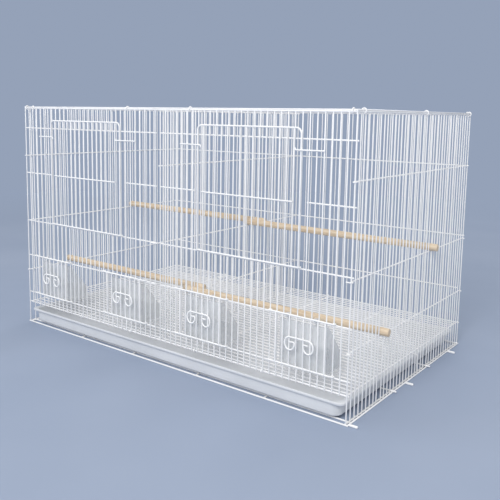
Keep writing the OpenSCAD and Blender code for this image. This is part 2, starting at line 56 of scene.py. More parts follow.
BAR_D, RAIL_D, DOOR_D, BASE_D = 2.0, 2.5, 2.8, 3.0
PEG_D, CLIP_D, EYE_D, HANDLE_D = 4.5, 2.0, 2.0, 2.6
RAIL_END = 3.0
SEAM = 0.01

FRONT_RAIL_1, FRONT_RAIL_2, MID_RAIL = 413.6, 320.8, 220.3
FRONT_RAIL_4, FRONT_RAIL_5, FLOOR_RAIL = 145.8, 66.3, 44.8
SIDE_RAIL_1, SIDE_RAIL_3 = 356.5, 114.7
RIGHT_DROP, PANEL_HOOK = 6.1, 7.0

DOOR_BARS, DOOR_GAPS = (7, 38), 16
DOOR_TOP, DOOR_CORNER = 429.5, 9.0
GUIDE_Z, GUIDE_REACH, GUIDE_HOOK = 397.3, 3, 2.5
FEEDER_BARS, FEEDER_GAPS = (3, 20, 35, 51), 7
HANDLE_W, HANDLE_H, CURL_W, HANDLE_Z = 53.0, 23.0, 20.0, 93.0

RUN_GAP, EYE_GAP, SEAT_GAP, CUP_GAP = 0.3, 0.4, 0.3, 1.7

# half width and half depth of the swellings of coat at welds
WELD_FOOT, WELD_DOOR, WELD_POST, WELD_FEEDER = (1.2, 0.75), (1.25, 0.7), (1.75, 1.6), (1.7, 0.7)
WELD_SIDE, WELD_END, WELD_TIE, WELD_HANDLE = (1.5, 0.9), (1.45, 0.9), (1.45, 0.8), (1.2, 0.8)
# sides of the round sections
FINE, THICK, DOWEL = 12, 14, 32
RING_TURN, SIDE_EYE_TURN, DOOR_EYE_TURN = 345, 255, 258
DOOR_WELD_IN = 1.2


def flat(d):
    """Half the width over the flats of the CAD model's eight-sided wires."""
    return d / 2 * math.cos(math.pi / 8)


def bar_x(i):
    return -HALF_L + PITCH * i


def bar_y(j):
    return -HALF_W + SIDE_PITCH * j


EDGE_Z = CAGE_H - flat(RAIL_D)
CAP_Z = EDGE_Z - 2 * flat(RAIL_D) - SEAM
BAR_FOOT = 0.3
RAIL_OFF = flat(BAR_D) + flat(RAIL_D) + SEAM
RAIL_Y, RAIL_X = HALF_W - RAIL_OFF, HALF_L - RAIL_OFF
RAIL_IN = RAIL_Y - flat(RAIL_D)
LOW_Z = flat(BASE_D)
HIGH_Z = 3 * flat(BASE_D) + SEAM
BASE_TOP = 2 * flat(BASE_D) + SEAM
FOOT_RAIL = flat(BAR_D) + flat(BASE_D) + SEAM
FOOT_X, FOOT_Y = HALF_L - FOOT_RAIL, HALF_W - FOOT_RAIL
SIDE_WIRE_X = HALF_L + FOOT_RAIL
SIDE_WIRE_OUT = SIDE_WIRE_X + flat(BASE_D)
BASE_FRONT = -HALF_W + flat(BASE_D) + SEAM
DOOR_Y = -(HALF_W + flat(RAIL_D) + RUN_GAP + flat(DOOR_D))
DOOR_RAIL_Y = DOOR_Y - RAIL_OFF
GUIDE_BACK_Y = -(HALF_W + RAIL_OFF)
GUIDE_FRONT_Y = DOOR_Y - flat(DOOR_D) - RUN_GAP - flat(RAIL_D)
EYE_R = BAR_D / 2 + EYE_GAP + EYE_D / 2
EYE_UP = flat(RAIL_D) + SEAT_GAP + EYE_D / 2
DOOR_FOOT = MID_RAIL + EYE_UP
FEEDER_HEAD, FEEDER_FOOT = FRONT_RAIL_4 + EYE_UP, FRONT_RAIL_5 + EYE_UP
HANDLE_Y = DOOR_Y - flat(BAR_D) - SEAM - HANDLE_D / 2 * math.cos(math.pi / 6)
CROSS_Z = FLOOR_RAIL - 2 * flat(RAIL_D) - SEAT_GAP
GRATE_Z = CROSS_Z + RAIL_OFF
GRATE_END = RAIL_X - flat(RAIL_D) - RUN_GAP
GRATE_CROSS = (13.45, 24.78, 37.4, 48.8)
TIE_X = (-213, -68, 90, 234)
SECOND_Y, REAR_WIRE = -HALF_W + 12.4, 8.4
SUPPORT_Y, SUPPORT_OUT = (-77.5, 65.2), 10.0
RIM_HOOK_Y, RIM_HOOK_IN, RIM_HOOK_ROOM, RIM_HOOK_BEND = 35.0, 15.0, 6.0, 3.0
PEG_Y, PEG_L = (-225.2, -27.0, 169.0), 13.8
CLIP_FRONT, CLIP_SIDE = (0, 24, 36, 60), (1, 19, 36)
CLIP_R = flat(RAIL_D) + RAIL_D / 2 + 0.2 + CLIP_D / 2
CLIP_Z = (EDGE_Z + CAP_Z) / 2

CUP_DEPTH, CUP_Z, CUP_H, CUP_LOW = 50.0, 64.0, 74.0, 22.0
CUP_WALL, CUP_LIP = 1.8, 7.0
HOOK_W, HOOK_T, HOOK_LEG, CUP_OFF = 6.0, 1.4, 3.0, 1.5
CUP_W = FEEDER_GAPS * PITCH - BAR_D - 2 * CUP_GAP
CUP_Y = -RAIL_IN + CUP_OFF
HOOK_Z = FRONT_RAIL_4 + flat(RAIL_D) + SEAT_GAP
LEG_Y = -(RAIL_Y + flat(RAIL_D)) - RUN_GAP

PERCH_D, PERCH_L, PERCH_ROOM = 12.7, 404.0, 0.5
PERCH_X = (-379.5, -9.0, -385.0, -8.5)
PERCH_GAP, PERCH_GAP_RIGHT = (23, 21, 8, 6), (23, 23, 8, 8)
UPPER_PERCH_Z = MID_RAIL + flat(RAIL_D) + SEAT_GAP + PERCH_D / 2
LOWER_PERCH_Z = SIDE_RAIL_3 + flat(RAIL_D) + SEAT_GAP + PERCH_D / 2
SPREAD = (PERCH_D + BAR_D - SIDE_PITCH) / 2 + PERCH_ROOM
PANEL_GAPS = (23, 8)
DIVIDER_GAPS = (23, 8, 21, 6)

TRAY_L, TRAY_FRONT, TRAY_BACK = 750.0, -0.9, 7.0
TRAY_RIM_Z, TRAY_RIM, TRAY_FRONT_RIM, TRAY_WALL = 31.5, 9.0, 3.5, 2.0
TRAY_CORNER, TRAY_RIM_CORNER = 15.0, 10.0
TRAY_FLOOR_Z = HIGH_Z + flat(BASE_D) + SEAT_GAP
TRAY_Y0, TRAY_Y1 = -HALF_W + TRAY_FRONT, HALF_W - TRAY_BACK

SHIFT = Vector(
    (
        (HALF_L + SUPPORT_OUT - (SIDE_WIRE_OUT + PEG_L)) / 2,
        (-GUIDE_FRONT_Y + flat(RAIL_D) - (HALF_W + CLIP_R + CLIP_D / 2)) / 2,
        0,
    )
)


def spread_y(j, gaps):
    """Place of an upright bar; the two bars at each perch stand a little apart."""
    return bar_y(j) + SPREAD * (((j - 1) in gaps) - (j in gaps))


# ---- mesh building -------------------------------------------------------


def unit(v):
    return v.normalized() if v.length > 1e-9 else Vector((0, 0, 1))


def arc(centre, r, a0, a1, steps, plane="xy"):
    """Points on an arc, angles in degrees. plane names the two axes that the angle turns in."""
    axes = {"x": 0, "y": 1, "z": 2}
    points = []
    for k in range(steps + 1):
        a = math.radians(a0 + (a1 - a0) * k / steps)
        p = list(centre)
        p[axes[plane[0]]] += r * math.cos(a)
        p[axes[plane[1]]] += r * math.sin(a)
        points.append(tuple(p))
    return points


class Builder:
    """Collects the vertices and faces of one piece."""

    def __init__(self):
        self.verts = []
        self.faces = []

    def ring(self, centre, u, v, r, n):
        start = len(self.verts)
        for k in range(n):
            a = 2 * math.pi * k / n
            self.verts.append(centre + (u * math.cos(a) + v * math.sin(a)) * r)
        return start

    def bridge(self, a, b, n):
        for k in range(n):
            m = (k + 1) % n
            self.faces.append((a + k, a + m, b + m, b + k))

    def tube(self, path, r, n=10, round_ends=True, closed=False, radii=None):
        """A round wire along a path of points, with softly rounded ends."""
        pts = [Vector(p) for p in path]
        radii = list(radii) if radii else [r] * len(pts)
        count = len(pts)
        tangents = []
        for k in range(count):
            if closed:
                tangents.append(unit(pts[(k + 1) % count] - pts[k - 1]))
            else:
                tangents.append(unit(pts[min(k + 1, count - 1)] - pts[max(k - 1, 0)]))
        if round_ends and not closed:
            t0, t1 = tangents[0], tangents[-1]
            head = [(pts[0], radii[0] * 0.62, t0), (pts[0] + t0 * radii[0] * 0.16, radii[0] * 0.9, t0)]
            tail = [(pts[-1] - t1 * radii[-1] * 0.16, radii[-1] * 0.9, t1), (pts[-1], radii[-1] * 0.62, t1)]
            rows = head
            rows.append((pts[0] + t0 * radii[0] * 0.45, radii[0], t0))
            rows += [(pts[k], radii[k], tangents[k]) for k in range(1, count - 1)]
            rows.append((pts[-1] - t1 * radii[-1] * 0.45, radii[-1], t1))
            rows += tail
        else:
            rows = [(pts[k], radii[k], tangents[k]) for k in range(count)]
        t = rows[0][2]
        u = unit(t.cross(Vector((0, 0, 1)) if abs(t.z) < 0.9 else Vector((0, 1, 0))))
        starts = []
        last = t
        for p, rad, t in rows:
            u = unit(last.rotation_difference(t) @ u)
            u = unit(u - t * u.dot(t))
            starts.append(self.ring(p, u, t.cross(u), rad, n))
            last = t
        for a, b in zip(starts, starts[1:]):
            self.bridge(a, b, n)
        if closed:
            self.bridge(starts[-1], starts[0], n)
        else:
            self.faces.append(tuple(reversed(range(starts[0], starts[0] + n))))
            self.faces.append(tuple(range(starts[-1], starts[-1] + n)))

    def wire_x(self, x0, x1, y, z, d, n=10):
        self.tube([(x0, y, z), (x1, y, z)], d / 2, n)

    def wire_y(self, y0, y1, x, z, d, n=10):
        self.tube([(x, y0, z), (x, y1, z)], d / 2, n)

    def wire_z(self, x, y, z0, z1, d, n=10):
        self.tube([(x, y, z0), (x, y, z1)], d / 2, n)

    def weld(self, x, y, z, along, size=(1.25, 0.75)):
        """The small swelling of coat where two wires are welded. along is the axis between the wires."""
        wide, deep = size
        centre = Vector((x, y, z))
        axis = {"x": Vector((1, 0, 0)), "y": Vector((0, 1, 0)), "z": Vector((0, 0, 1))}[along]
        u = unit(axis.cross(Vector((0, 0, 1)) if along != "z" else Vector((1, 0, 0))))
        v = axis.cross(u)
        rows = []
        for h, s in ((-0.75, 0.6), (0, 1), (0.75, 0.6)):
            rows.append(self.ring(centre + axis * h * deep, u, v, wide * s, 8))
        for a, b in zip(rows, rows[1:]):
            self.bridge(a, b, 8)
        self.faces.append(tuple(reversed(range(rows[0], rows[0] + 8))))
        self.faces.append(tuple(range(rows[-1], rows[-1] + 8)))

    def build(self, name):
        mesh = bpy.data.meshes.new(name)
        mesh.from_pydata([(v + SHIFT) * MM for v in self.verts], [], self.faces)
        mesh.validate()
        mesh.update()
        mesh.polygons.foreach_set("use_smooth", [True] * len(mesh.polygons))
        obj = bpy.data.objects.new(name, mesh)
        bpy.context.scene.collection.objects.link(obj)
        return obj


def finish_piece(obj, material, body, slot_name, *nodes, sharp=None):
    obj.data.materials.append(material)
    if sharp is not None:
        obj.data.set_sharp_from_angle(angle=math.radians(sharp))
    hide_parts(*nodes)
    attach(obj, body)
    return obj


# ---- materials -----------------------------------------------------------


class Shader:
    """A material with its nodes, made and linked in short lines."""

    def __init__(self, name):
        self.mat = bpy.data.materials.new(name)
        self.mat.use_nodes = True
        self.tree = self.mat.node_tree
        self.bsdf = self.tree.nodes["Principled BSDF"]
        self.coord = self.node("ShaderNodeTexCoord")

    def node(self, kind, **values):
        made = self.tree.nodes.new(kind)
        for key, value in values.items():
            if hasattr(made, key):
                setattr(made, key, value)
            else:
                made.inputs[key].default_value = value
        return made

    def link(self, a, b):
        self.tree.links.new(a, b)

    def mapped(self, scale=(1, 1, 1), rotation=(0, 0, 0)):
        made = self.node("ShaderNodeMapping")
        made.inputs["Scale"].default_value = scale
        made.inputs["Rotation"].default_value = rotation
        self.link(self.coord.outputs["Object"], made.inputs["Vector"])
        return made.outputs["Vector"]

    def noise(self, vector, scale, detail=2.0, rough=0.5, distortion=0.0):
        made = self.node("ShaderNodeTexNoise")
        made.inputs["Scale"].default_value = scale
        made.inputs["Detail"].default_value = detail
        made.inputs["Roughness"].default_value = rough
        made.inputs["Distortion"].default_value = distortion
        self.link(vector, made.inputs["Vector"])
        return made.outputs["Fac"]

    def ramp(self, fac, stops):
        made = self.node("ShaderNodeValToRGB")
        ramp = made.color_ramp
        while len(ramp.elements) < len(stops):
            ramp.elements.new(0.5)
        for element, (place, colour) in zip(ramp.elements, stops):
            element.position = place
            element.color = (*colour, 1)
        self.link(fac, made.inputs["Fac"])
        return made.outputs["Color"]

    def span(self, fac, lo, hi):
        made = self.node("ShaderNodeMapRange")
        made.inputs["To Min"].default_value = lo
        made.inputs["To Max"].default_value = hi
        self.link(fac, made.inputs["Value"])
        return made.outputs["Result"]

    def bump(self, height, strength, distance, normal=None):
        made = self.node("ShaderNodeBump")
        made.inputs["Strength"].default_value = strength
        made.inputs["Distance"].default_value = distance
        self.link(height, made.inputs["Height"])
        if normal is not None:
            self.link(normal, made.inputs["Normal"])
        return made.outputs["Normal"]

    def set(self, **values):
        for key, value in values.items():
            self.bsdf.inputs[key.replace("_", " ")].default_value = value

    def into(self, output, name):
        self.link(output, self.bsdf.inputs[name])


def powder_coat():
    s = Shader("powder_coat_white")
    here = s.mapped()
    patches = s.noise(here, 35, 2, 0.5)
    s.into(s.ramp(patches, [(0.3, (0.90, 0.90, 0.91)), (0.7, (0.95, 0.95, 0.95))]), "Base Color")
    peel = s.noise(here, 900, 3, 0.6)
    s.into(s.span(patches, 0.26, 0.40), "Roughness")
    s.into(s.bump(peel, 0.18, 0.0004), "Normal")
    s.set(Coat_Weight=0.25, Coat_Roughness=0.18)
    return s.mat


def tray_plastic():
    s = Shader("tray_plastic")
    here = s.mapped()
    tone = s.noise(here, 9, 3, 0.55)
    s.into(s.ramp(tone, [(0.3, (0.63, 0.65, 0.68)), (0.7, (0.71, 0.73, 0.76))]), "Base Color")
    grain = s.noise(here, 1400, 2, 0.6)
    scratch = s.noise(s.mapped((6, 260, 60), (0, 0, 0.3)), 3, 4, 0.6)
    s.into(s.span(tone, 0.36, 0.5), "Roughness")
    s.into(s.bump(scratch, 0.05, 0.0006, s.bump(grain, 0.12, 0.0003)), "Normal")
    return s.mat


def cup_plastic():
    s = Shader("cup_plastic")
    here = s.mapped()
    haze = s.noise(here, 40, 3, 0.6)
    streaks = s.noise(s.mapped((260, 40, 9)), 1.0, 3, 0.6)
    s.into(s.ramp(haze, [(0.3, (0.64, 0.66, 0.68)), (0.75, (0.82, 0.84, 0.86))]), "Base Color")
    cloud = s.node("ShaderNodeMath", operation="MULTIPLY_ADD")
    s.link(s.span(haze, 0.20, 0.34), cloud.inputs[0])
    s.link(s.span(streaks, 0.35, 1.65), cloud.inputs[1])
    cloud.inputs[2].default_value = 0.14
    s.into(cloud.outputs["Value"], "Alpha")
    s.into(s.span(haze, 0.10, 0.24), "Roughness")
    s.into(s.bump(s.noise(here, 60, 2, 0.5), 0.08, 0.001), "Normal")
    s.set(IOR=1.5, Coat_Weight=0.3, Coat_Roughness=0.08)
    return s.mat


def perch_wood():
    s = Shader("perch_wood")
    along = s.mapped((6, 130, 130))
    figure = s.noise(along, 2.2, 4, 0.6, 0.6)
    fibre = s.noise(s.mapped((30, 1500, 1500)), 1.0, 4, 0.7)
    stops = [(0.25, (0.58, 0.43, 0.28)), (0.45, (0.72, 0.58, 0.42))]
    stops += [(0.62, (0.79, 0.67, 0.51)), (0.8, (0.86, 0.76, 0.62))]
    tone = s.ramp(figure, stops)
    mix = s.node("ShaderNodeMix", data_type="RGBA", blend_type="MULTIPLY")
    mix.inputs["Factor"].default_value = 0.35
    s.link(tone, mix.inputs["A"])
    s.link(s.ramp(fibre, [(0.3, (0.70, 0.61, 0.52)), (0.65, (1, 1, 1))]), mix.inputs["B"])
    s.into(mix.outputs["Result"], "Base Color")
    s.into(s.span(figure, 0.48, 0.66), "Roughness")
    s.into(s.bump(fibre, 0.25, 0.0004), "Normal")
    return s.mat


WIRE, TRAY, CUP, WOOD = powder_coat(), tray_plastic(), cup_plastic(), perch_wood()


def wire_piece(builder, name, body, *nodes):
    return finish_piece(builder.build(name), WIRE, body, "wire", *nodes)


# ---- panels --------------------------------------------------------------

FRONT_Y = -HALF_W
FRONT_RAILS = []
for height in (FRONT_RAIL_1, MID_RAIL, FRONT_RAIL_4, FRONT_RAIL_5):
    FRONT_RAILS += [(0, SLOT, height), (SLOT + 1, FRONT_GAPS, height)]
FRONT_RAILS += [
    (0, DOOR_BARS[0] - 1, FRONT_RAIL_2),
    (DOOR_BARS[0] + DOOR_GAPS + 1, SLOT, FRONT_RAIL_2),
    (SLOT + 1, DOOR_BARS[1] - 1, FRONT_RAIL_2),
    (DOOR_BARS[1] + DOOR_GAPS + 1, FRONT_GAPS, FRONT_RAIL_2),
    (0, FRONT_GAPS, FLOOR_RAIL),
]


def in_door(i):
    return any(b < i < b + DOOR_GAPS for b in DOOR_BARS)


def in_feeder(i):
    return any(b < i < b + FEEDER_GAPS for b in FEEDER_BARS)


def front_bar_spans(i):
    if i in (0, FRONT_GAPS):
        return [(BASE_TOP, CAP_Z)]
    spans = []
    foot = FLOOR_RAIL - flat(RAIL_D)
    if in_door(i):
        spans.append((FRONT_RAIL_1 - flat(RAIL_D), CAP_Z))
    low = FRONT_RAIL_4 - flat(RAIL_D) if in_feeder(i) else foot
    high = MID_RAIL + flat(RAIL_D) if in_door(i) else CAP_Z
    spans.append((low, high))
    if in_feeder(i):
        spans.append((foot, FRONT_RAIL_5 + flat(RAIL_D)))
    return spans


def front_panel():
    b = Builder()
    for i in range(FRONT_GAPS + 1):
        spans = front_bar_spans(i)
        for z0, z1 in spans:
            b.wire_z(bar_x(i), FRONT_Y, z0, z1, BAR_D)
        for i0, i1, z in FRONT_RAILS:
            if i0 <= i <= i1 and any(z0 - 2 < z < z1 + 2 for z0, z1 in spans):
                b.weld(bar_x(i), FRONT_Y + flat(BAR_D), z, "y")
    for i0, i1, z in FRONT_RAILS:
        x0 = bar_x(i0) - (BAR_D / 2 if i0 == SLOT + 1 else RAIL_END)
        x1 = bar_x(i1) + (BAR_D / 2 if i1 == SLOT else RAIL_END)
        b.wire_x(x0, x1, -RAIL_Y, z, RAIL_D)
    b.wire_x(-HALF_L - flat(RAIL_D), HALF_L + flat(RAIL_D), FRONT_Y, CAP_Z, RAIL_D)
    wire_piece(b, "front_panel_wires", "cage", "front_panel")


def back_panel():
    b = Builder()
    rails = [(SIDE_RAIL_1, GRATE_END), (SIDE_RAIL_3, GRATE_END), (MID_RAIL, HALF_L + RAIL_END)]
    rails.append((FLOOR_RAIL, HALF_L + RAIL_END))
    for i in range(FRONT_GAPS + 1):
        b.wire_z(bar_x(i), HALF_W, BAR_FOOT, CAP_Z, BAR_D)
        for z, end in rails:
            if abs(bar_x(i)) < end:
                b.weld(bar_x(i), HALF_W - flat(BAR_D), z, "y")
        if 0 < i < FRONT_GAPS:
            b.weld(bar_x(i), HALF_W - flat(BAR_D), LOW_Z, "y", WELD_FOOT)
    for z, end in rails:
        b.wire_x(-end, end, RAIL_Y, z, RAIL_D)
    b.wire_x(-HALF_L - flat(RAIL_D), HALF_L + flat(RAIL_D), HALF_W, CAP_Z, RAIL_D)
    end = FOOT_X - flat(BASE_D) - SEAM
    b.wire_x(-end, end, FOOT_Y, LOW_Z, 2 * flat(BASE_D))
    wire_piece(b, "back_panel_wires", "cage", "back_panel")


def corner_eye(side, end, z):
    """Where a side rail's end is bent round a corner bar, from the rail to the tip."""
    turn = arc((0, 0, z), EYE_R, 180, 180 + SIDE_EYE_TURN, 16)
    return [(side * (HALF_L + p[0]), end * (HALF_W - p[1]), z) for p in turn]


def eyed_rail(b, side, z, hooked=False):
    """A side rail whose ends are bent round the front and back corner bars."""
    x = side * RAIL_X
    front = [(x, -HALF_W + 4.5, z)] + corner_eye(side, -1, z)
    back = [(x, HALF_W - 4.5, z)] + corner_eye(side, 1, z)
    if hooked:
        # out between the first two bars, round the corner bar and on along the front
        round_bar = arc((HALF_L, -HALF_W, z), EYE_R, 20, -90, 9)
        front = [(x, -HALF_W + 9, z), (x + 1.2, -HALF_W + 5.6, z), (x + 3.3, -HALF_W + 2.6, z)]
        front += round_bar + [(HALF_L - 3, -HALF_W - EYE_R, z), (HALF_L - PANEL_HOOK, -HALF_W - EYE_R, z)]
    path = list(reversed(front)) + back
    radii = [EYE_D / 2] * (len(front) - 1) + [RAIL_D / 2] * 2 + [EYE_D / 2] * (len(back) - 1)
    b.tube(path, RAIL_D / 2, radii=radii)


def side_panel(side, name, node):
    b = Builder()
    x = side * HALF_L
    drop = RIGHT_DROP if side > 0 else 0
    for j in range(1, SIDE_GAPS):
        y = spread_y(j, PANEL_GAPS)
        b.wire_z(x, y, BAR_FOOT, CAP_Z, BAR_D)
        for z in (SIDE_RAIL_1, MID_RAIL - drop, SIDE_RAIL_3 - drop, FLOOR_RAIL):
            b.weld(x - side * flat(BAR_D), y, z, "x")
        b.weld(x - side * flat(BAR_D), y, LOW_Z, "x", WELD_FOOT)
    inner = HALF_W - flat(RAIL_D) - SEAM
    b.wire_y(-inner, inner, x, CAP_Z, RAIL_D)
    b.wire_y(-RAIL_IN + RUN_GAP, RAIL_IN - RUN_GAP, side * RAIL_X, FLOOR_RAIL, RAIL_D)
    if side > 0:
        eyed_rail(b, side, MID_RAIL - drop, hooked=True)
    else:
        b.wire_y(-RAIL_IN + RUN_GAP, RAIL_IN - RUN_GAP, side * RAIL_X, MID_RAIL, RAIL_D)
    for z in (SIDE_RAIL_1, SIDE_RAIL_3 - drop):
        eyed_rail(b, side, z)
    b.wire_y(BASE_FRONT, HALF_W, side * FOOT_X, LOW_Z, 2 * flat(BASE_D))
    wire_piece(b, name, "cage", node)


def top_panel():
    b = Builder()
    inner = HALF_W - flat(RAIL_D) - SEAM
    under = EDGE_Z - RAIL_OFF
    edge = 2 * flat(RAIL_D)
    for s in (-1, 1):
        b.wire_x(-HALF_L - flat(RAIL_D), HALF_L + flat(RAIL_D), s * HALF_W, EDGE_Z, edge)
        b.wire_y(-inner, inner, s * HALF_L, EDGE_Z, edge)
    for i in range(1, FRONT_GAPS):
        b.wire_y(-HALF_W, HALF_W, bar_x(i), EDGE_Z, BAR_D)
        for k in (-1, 0, 1):
            b.weld(bar_x(i), k * CAGE_W / 4, EDGE_Z - flat(BAR_D), "z")
    reach = HALF_L - flat(RAIL_D) - RUN_GAP
    for k in (-1, 0, 1):
        b.wire_x(-reach, reach, k * CAGE_W / 4, under, RAIL_D)
    wire_piece(b, "top_panel_wires", "cage", "top_panel")


def top_rings():
    b = Builder()
    random.seed(4)
    places = [((bar_x(i + 0.5), s * HALF_W), "yz") for i in CLIP_FRONT for s in (-1, 1)]
    places += [((s * HALF_L, bar_y(min(j, SIDE_GAPS - 1) + 0.5)), "xz") for j in CLIP_SIDE for s in (-1, 1)]
    for (x, y), plane in places:
        start = random.uniform(200, 340)
        path = arc((x, y, CLIP_Z), CLIP_R, start, start + RING_TURN, 30, plane)
        b.tube(path, CLIP_D / 2)
    wire_piece(b, "top_rings_wire", "cage", "top_rings")


def door_guides():
    b = Builder()
    for first in DOOR_BARS:
        for post, way, hook in ((first, 1, -1), (first + DOOR_GAPS, -1, 1)):
            start = bar_x(post - way * GUIDE_REACH) - way * BAR_D
            weld = bar_x(post - way) + way * BAR_D
            front = bar_x(post - way * 0.45)
            tip = bar_x(post + way * 0.7)
            bend = 2.0
            path = [(start, GUIDE_BACK_Y, GUIDE_Z), (weld - way * bend, GUIDE_BACK_Y, GUIDE_Z)]
            path += [(weld, GUIDE_BACK_Y - 0.35, GUIDE_Z), (front - way * bend, GUIDE_FRONT_Y + 0.5, GUIDE_Z)]
            path += [(front, GUIDE_FRONT_Y, GUIDE_Z), (tip - way * 2.2, GUIDE_FRONT_Y, GUIDE_Z)]
            drop = hook * (GUIDE_HOOK + flat(RAIL_D))
            path += [(tip - way * 0.6, GUIDE_FRONT_Y, GUIDE_Z + drop * 0.18)]
            path += [(tip, GUIDE_FRONT_Y, GUIDE_Z + drop * 0.5), (tip, GUIDE_FRONT_Y, GUIDE_Z + drop)]
            b.tube(path, flat(RAIL_D), FINE)
            for k in range(1, GUIDE_REACH + 1):
                b.weld(bar_x(post - way * k), -HALF_W - flat(BAR_D), GUIDE_Z, "y")
    wire_piece(b, "door_guide_wires", "cage", "door_guides")


def divider():
    b = Builder()
    bar_side = flat(BAR_D) + (flat(RAIL_D) - flat(BAR_D)) / 2
    rail_side = bar_side - RAIL_OFF
    foot = GRATE_Z + RAIL_OFF
    head = EDGE_Z - RAIL_OFF - 2 * flat(RAIL_D) - RUN_GAP
    back = RAIL_IN - RUN_GAP
    hook_y = -(HALF_W + flat(BAR_D) + RUN_GAP + flat(RAIL_D))
    hook_x = bar_x(SLOT) - PITCH * 0.75
    rails = (foot, SIDE_RAIL_3, SIDE_RAIL_1, head)
    for j in range(1, SIDE_GAPS):
        y = spread_y(j, DIVIDER_GAPS)
        b.wire_z(bar_side, y, foot - flat(RAIL_D), head + flat(RAIL_D), BAR_D)
        for z in (*rails, MID_RAIL):
            b.weld(bar_side - flat(BAR_D), y, z, "x")
    for z in rails:
        b.wire_y(-back, back, rail_side, z, RAIL_D)
    path = [(rail_side, back, MID_RAIL), (rail_side, hook_y + 3, MID_RAIL)]
    path += arc((rail_side - 3, hook_y + 3, MID_RAIL), 3, 0, -90, 6)[1:]
    path += [(hook_x + 3, hook_y, MID_RAIL)]
    path += arc((hook_x + 3, hook_y, MID_RAIL - 3), 3, 90, 180, 6, "xz")[1:]
    path += [(hook_x, hook_y, MID_RAIL - 6)]
    b.tube(path, RAIL_D / 2, FINE)
    wire_piece(b, "divider_wires", "cage", "divider")


def floor_grate():
    b = Builder()
    for j in range(1, SIDE_GAPS):
        b.wire_x(-GRATE_END, GRATE_END, bar_y(j), GRATE_Z, BAR_D)
        for g in GRATE_CROSS:
            b.weld(bar_x(g), bar_y(j), CROSS_Z + flat(RAIL_D), "z")
    r = FLOOR_RAIL - CROSS_Z
    for g in GRATE_CROSS:
        x = bar_x(g)
        front = arc((x, -RAIL_Y, FLOOR_RAIL), r, 90, 270, 12, "yz")
        back = arc((x, RAIL_Y, FLOOR_RAIL), r, -90, 90, 12, "yz")
        b.tube(front + back, flat(RAIL_D))
    wire_piece(b, "floor_grate_wires", "cage", "floor_grate")


def base_frame():
    b = Builder()
    d = 2 * flat(BASE_D)
    second_end = FOOT_X - flat(BASE_D) - SEAM
    b.wire_x(-SIDE_WIRE_OUT, SIDE_WIRE_OUT, -HALF_W, LOW_Z, d)
    b.wire_x(-second_end, second_end, SECOND_Y, LOW_Z, d)
    b.wire_x(-SIDE_WIRE_OUT, SIDE_WIRE_OUT, HALF_W - REAR_WIRE, HIGH_Z, d)
    for s in (-1, 1):
        b.wire_y(BASE_FRONT - 1, HALF_W + 1.4, s * SIDE_WIRE_X, LOW_Z, d)
        b.weld(s * SIDE_WIRE_X, HALF_W - REAR_WIRE, 2 * flat(BASE_D), "z", WELD_SIDE)
        b.weld(s * (second_end + 0.2), SECOND_Y, LOW_Z, "x", WELD_END)
    for x in TIE_X:
        b.wire_y(BASE_FRONT - 1, SECOND_Y - flat(BASE_D) + 1, x, LOW_Z, d)
        for y in (BASE_FRONT, SECOND_Y - flat(BASE_D)):
            b.weld(x, y, LOW_Z, "y", WELD_TIE)
    wire_piece(b, "base_frame_wires", "cage", "base_frame")


def tray_supports():
    b = Builder()
    out = HALF_L + SUPPORT_OUT
    for y in SUPPORT_Y:
        b.wire_x(-out, out, y, HIGH_Z, 2 * flat(BASE_D), FINE)
        for s in (-1, 1):
            b.weld(s * SIDE_WIRE_X, y, 2 * flat(BASE_D), "z", WELD_SIDE)
    x = HALF_L - (RIM_HOOK_ROOM + flat(BAR_D)) / 2
    r, top = RIM_HOOK_BEND, TRAY_RIM_Z + SEAT_GAP + flat(RAIL_D)
    for s in (-1, 1):
        path = [(x, RIM_HOOK_Y, BASE_TOP - 0.6)]
        path += arc((x - r, RIM_HOOK_Y, top - r), r, 0, 90, 8, "xz")
        path += [(HALF_L - RIM_HOOK_IN, RIM_HOOK_Y, top)]
        b.tube([(s * p[0], p[1], p[2]) for p in path], flat(RAIL_D), FINE)
    wire_piece(b, "tray_support_wires", "cage", "tray_supports")


def side_pegs():
    b = Builder()
    for y in PEG_Y:
        b.wire_x(SIDE_WIRE_X, SIDE_WIRE_OUT + PEG_L, y, flat(PEG_D), 2 * flat(PEG_D), THICK)
    wire_piece(b, "side_peg_wires", "cage", "side_pegs")


# ---- doors ---------------------------------------------------------------


def eyed_wire(b, x0, x1, z):
    """A door wire along X whose two ends are bent round the posts at x0 and x1."""
    steps = 16
    left = arc((x0, -HALF_W, z), EYE_R, -90, -90 - DOOR_EYE_TURN, steps)
    right = [(x1 - (p[0] - x0), p[1], z) for p in left]
    path = list(reversed(left)) + [(x0 + 3.2, DOOR_Y, z), (x1 - 3.2, DOOR_Y, z)] + right
    eye = [EYE_D / 2] * (steps + 1)
    b.tube(path, DOOR_D / 2, FINE, radii=eye + [DOOR_D / 2] * 2 + eye)


